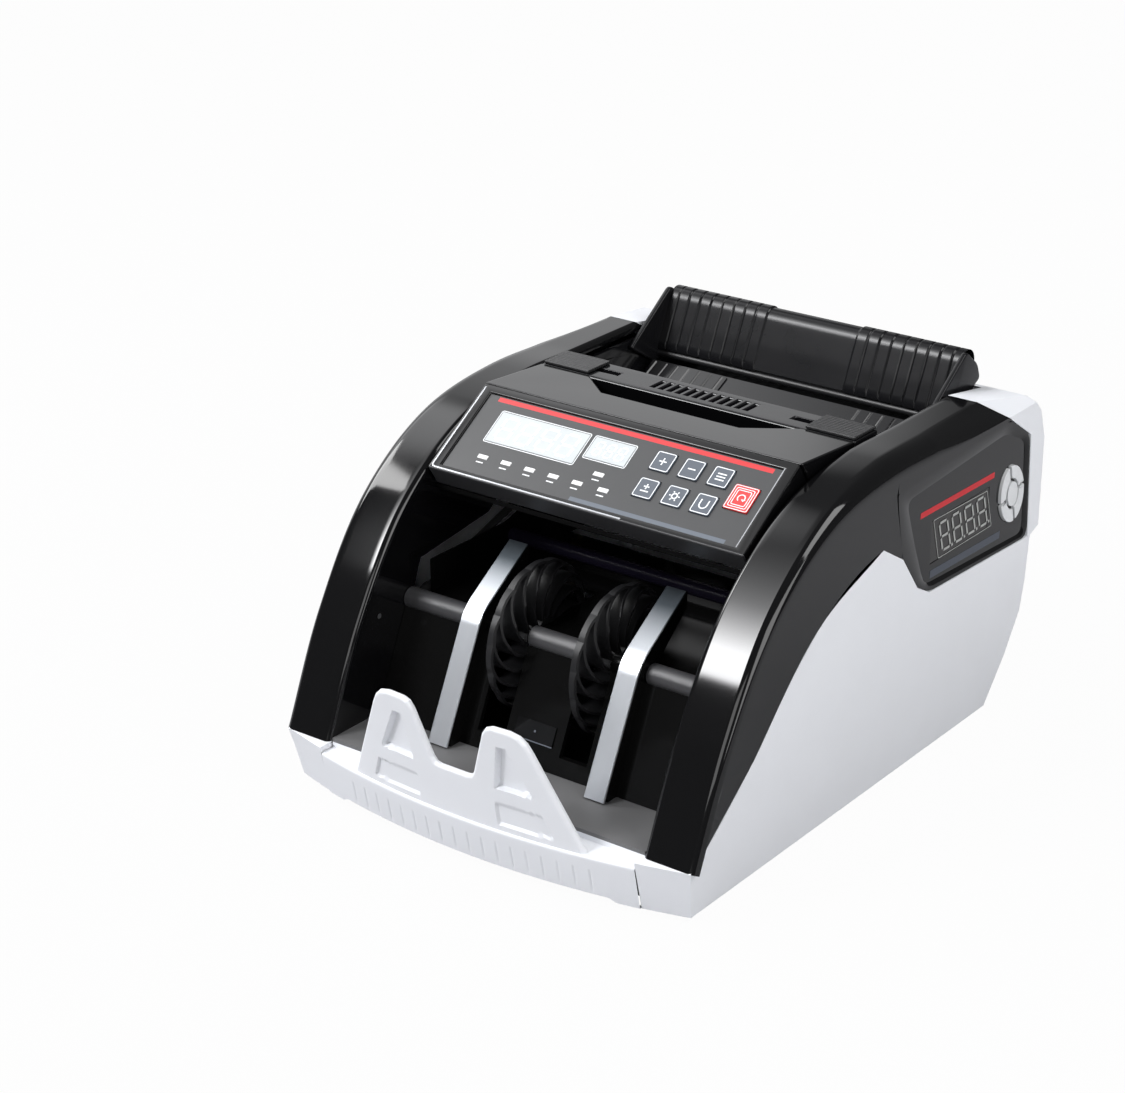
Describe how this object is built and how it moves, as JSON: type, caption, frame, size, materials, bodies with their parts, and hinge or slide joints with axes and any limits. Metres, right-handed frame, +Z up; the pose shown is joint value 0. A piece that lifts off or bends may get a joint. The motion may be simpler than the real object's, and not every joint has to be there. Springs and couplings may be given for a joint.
{
  "type": "banknote counting machine",
  "caption": "Desktop banknote counting machine with a tilted key panel, a rear hopper with a folding flap, stacking wheels in an open front pocket and a display on its right side",
  "frame": {"origin": "Middle of the overall box, on the plane of the feet", "axes": "+X to the right seen from the operator's side, +Y to the rear away from the operator, +Z up"},
  "size_m": [0.256, 0.3544, 0.2],
  "materials": {
    "white_plastic": "satin cool white moulding",
    "black_gloss": "polished black moulding",
    "black_matte": "fine-grained black moulding",
    "dark_floor": "matt dark grey plate",
    "panel_film": "dark grey printed film",
    "slate_key": "matt slate grey caps",
    "red_key": "matt red cap",
    "display_white": "milky display window",
    "lens_white": "milky lens",
    "pad_white": "satin white key",
    "steel": "drawn steel",
    "zinc_plate": "zinc-plated sheet",
    "brass_bush": "sintered bush",
    "roller_rubber": "grooved rubber",
    "wheel_plastic": "dark flexible vanes",
    "foot_rubber": "moulded foot",
    "board_green": "coated circuit board",
    "motor_can": "painted can",
    "lamp_glass": "clear tube"
  },
  "bodies": {
    "casing": {"cheek_right": "black_gloss", "cheek_left": "black_gloss", "side_panel_right": "white_plastic", "side_panel_left": "white_plastic", "rear_panel": "white_plastic", "front_lip": "white_plastic", "note_stop": "white_plastic", "base_pan": "black_matte", "stacker_floor": "dark_floor", "stacker_back": "black_matte", "guide_strips": "steel", "pocket_ceiling": "black_matte", "display_windows": "display_white", "indicator_lenses": "lens_white", "panel_face": "panel_film", "panel_bezel": "black_gloss", "panel_board": "board_green", "top_cover": "black_gloss", "handle_bar": "black_gloss", "hopper_tray": "black_matte", "flap_pin": "steel", "frame_plate_left": "zinc_plate", "frame_plate_right": "zinc_plate", "shaft_bushes": "brass_bush", "motor": "motor_can", "drive_belts": "roller_rubber", "lamp_tube": "lamp_glass", "main_board": "board_green", "power_supply": "zinc_plate", "mains_inlet": "black_matte", "switch_body": "black_matte", "pod_display": "display_white", "side_pod": "black_gloss", "rubber_feet": "foot_rubber", "casing_screws": "steel"},
    "flap": {"hopper_flap": "black_matte"},
    "left guide": {"note_guide_left": "black_matte"},
    "right guide": {"note_guide_right": "black_matte"},
    "feed rotor": {"feed_shaft": "steel", "feed_rollers": "roller_rubber", "feed_pulleys": "black_matte"},
    "stacker rotor": {"stacker_shaft": "steel", "stacker_pulley": "black_matte", "stacker_wheels": "wheel_plastic"},
    "motor rotor": {"motor_pulley": "steel"},
    "pickup rotor": {"pickup_roller": "roller_rubber"},
    "idler rotor": {"idler_roller": "roller_rubber"},
    "switch rocker": {"power_switch": "black_matte"},
    "key plus": {"key_plus": "slate_key"},
    "key minus": {"key_minus": "slate_key"},
    "key batch": {"key_batch": "slate_key"},
    "key add": {"key_add": "slate_key"},
    "key lamp": {"key_lamp": "slate_key"},
    "key magnet": {"key_magnet": "slate_key"},
    "key restart": {"key_restart": "red_key"},
    "pad key upper rear": {"pad_key_upper_rear": "pad_white"},
    "pad key upper front": {"pad_key_upper_front": "pad_white"},
    "pad key lower front": {"pad_key_lower_front": "pad_white"},
    "pad key lower rear": {"pad_key_lower_rear": "pad_white"},
    "pad key center": {"pad_key_center": "pad_white"}
  },
  "joints": [
    {"name": "flap_fold", "type": "hinge", "parent": "casing", "child": "flap", "pos_m": [0, 0.1312, 0.164], "axis": [1, 0, 0], "range_deg": [0, 75]},
    {"name": "left_guide_slide", "type": "slide", "parent": "casing", "child": "left guide", "axis": [1, 0, 0], "range_m": [0, 0.03]},
    {"name": "right_guide_slide", "type": "slide", "parent": "casing", "child": "right guide", "axis": [-1, 0, 0], "range_m": [0, 0.03]},
    {"name": "feed_turn", "type": "hinge", "parent": "casing", "child": "feed rotor", "pos_m": [0, 0.0452, 0.114], "axis": [1, 0, 0], "continuous": true},
    {"name": "stacker_turn", "type": "hinge", "parent": "casing", "child": "stacker rotor", "pos_m": [0, -0.0708, 0.082], "axis": [1, 0, 0], "continuous": true},
    {"name": "motor_turn", "type": "hinge", "parent": "casing", "child": "motor rotor", "pos_m": [0, 0.0032, 0.046], "axis": [1, 0, 0], "continuous": true},
    {"name": "pickup_turn", "type": "hinge", "parent": "casing", "child": "pickup rotor", "pos_m": [0, 0.0898, 0.12835], "axis": [1, 0, 0], "continuous": true},
    {"name": "idler_turn", "type": "hinge", "parent": "casing", "child": "idler rotor", "pos_m": [0, 0.0372, 0.1415], "axis": [1, 0, 0], "continuous": true},
    {"name": "switch_rock", "type": "hinge", "parent": "casing", "child": "switch rocker", "pos_m": [-0.036, 0.1692, 0.119], "axis": [1, 0, 0], "range_deg": [-10, 0]},
    {"name": "key_plus_press", "type": "slide", "parent": "casing", "child": "key plus", "axis": [0, 0.5446, -0.8387], "range_m": [0, 0.0012], "stiffness_N_per_m": 300},
    {"name": "key_minus_press", "type": "slide", "parent": "casing", "child": "key minus", "axis": [0, 0.5446, -0.8387], "range_m": [0, 0.0012], "stiffness_N_per_m": 300},
    {"name": "key_batch_press", "type": "slide", "parent": "casing", "child": "key batch", "axis": [0, 0.5446, -0.8387], "range_m": [0, 0.0012], "stiffness_N_per_m": 300},
    {"name": "key_add_press", "type": "slide", "parent": "casing", "child": "key add", "axis": [0, 0.5446, -0.8387], "range_m": [0, 0.0012], "stiffness_N_per_m": 300},
    {"name": "key_lamp_press", "type": "slide", "parent": "casing", "child": "key lamp", "axis": [0, 0.5446, -0.8387], "range_m": [0, 0.0012], "stiffness_N_per_m": 300},
    {"name": "key_magnet_press", "type": "slide", "parent": "casing", "child": "key magnet", "axis": [0, 0.5446, -0.8387], "range_m": [0, 0.0012], "stiffness_N_per_m": 300},
    {"name": "key_restart_press", "type": "slide", "parent": "casing", "child": "key restart", "axis": [0, 0.5446, -0.8387], "range_m": [0, 0.0012], "stiffness_N_per_m": 300},
    {"name": "pad_key_upper_rear_press", "type": "slide", "parent": "casing", "child": "pad key upper rear", "axis": [-1, 0, 0], "range_m": [0, 0.001], "stiffness_N_per_m": 300},
    {"name": "pad_key_upper_front_press", "type": "slide", "parent": "casing", "child": "pad key upper front", "axis": [-1, 0, 0], "range_m": [0, 0.001], "stiffness_N_per_m": 300},
    {"name": "pad_key_lower_front_press", "type": "slide", "parent": "casing", "child": "pad key lower front", "axis": [-1, 0, 0], "range_m": [0, 0.001], "stiffness_N_per_m": 300},
    {"name": "pad_key_lower_rear_press", "type": "slide", "parent": "casing", "child": "pad key lower rear", "axis": [-1, 0, 0], "range_m": [0, 0.001], "stiffness_N_per_m": 300},
    {"name": "pad_key_center_press", "type": "slide", "parent": "casing", "child": "pad key center", "axis": [-1, 0, 0], "range_m": [0, 0.001], "stiffness_N_per_m": 300}
  ],
  "couplings": [
    {"joint": "stacker_turn", "follows": "feed_turn", "ratio": 1.5},
    {"joint": "motor_turn", "follows": "feed_turn", "ratio": 1.5},
    {"joint": "pickup_turn", "follows": "feed_turn", "ratio": 1},
    {"joint": "idler_turn", "follows": "feed_turn", "ratio": -1.4545}
  ]
}
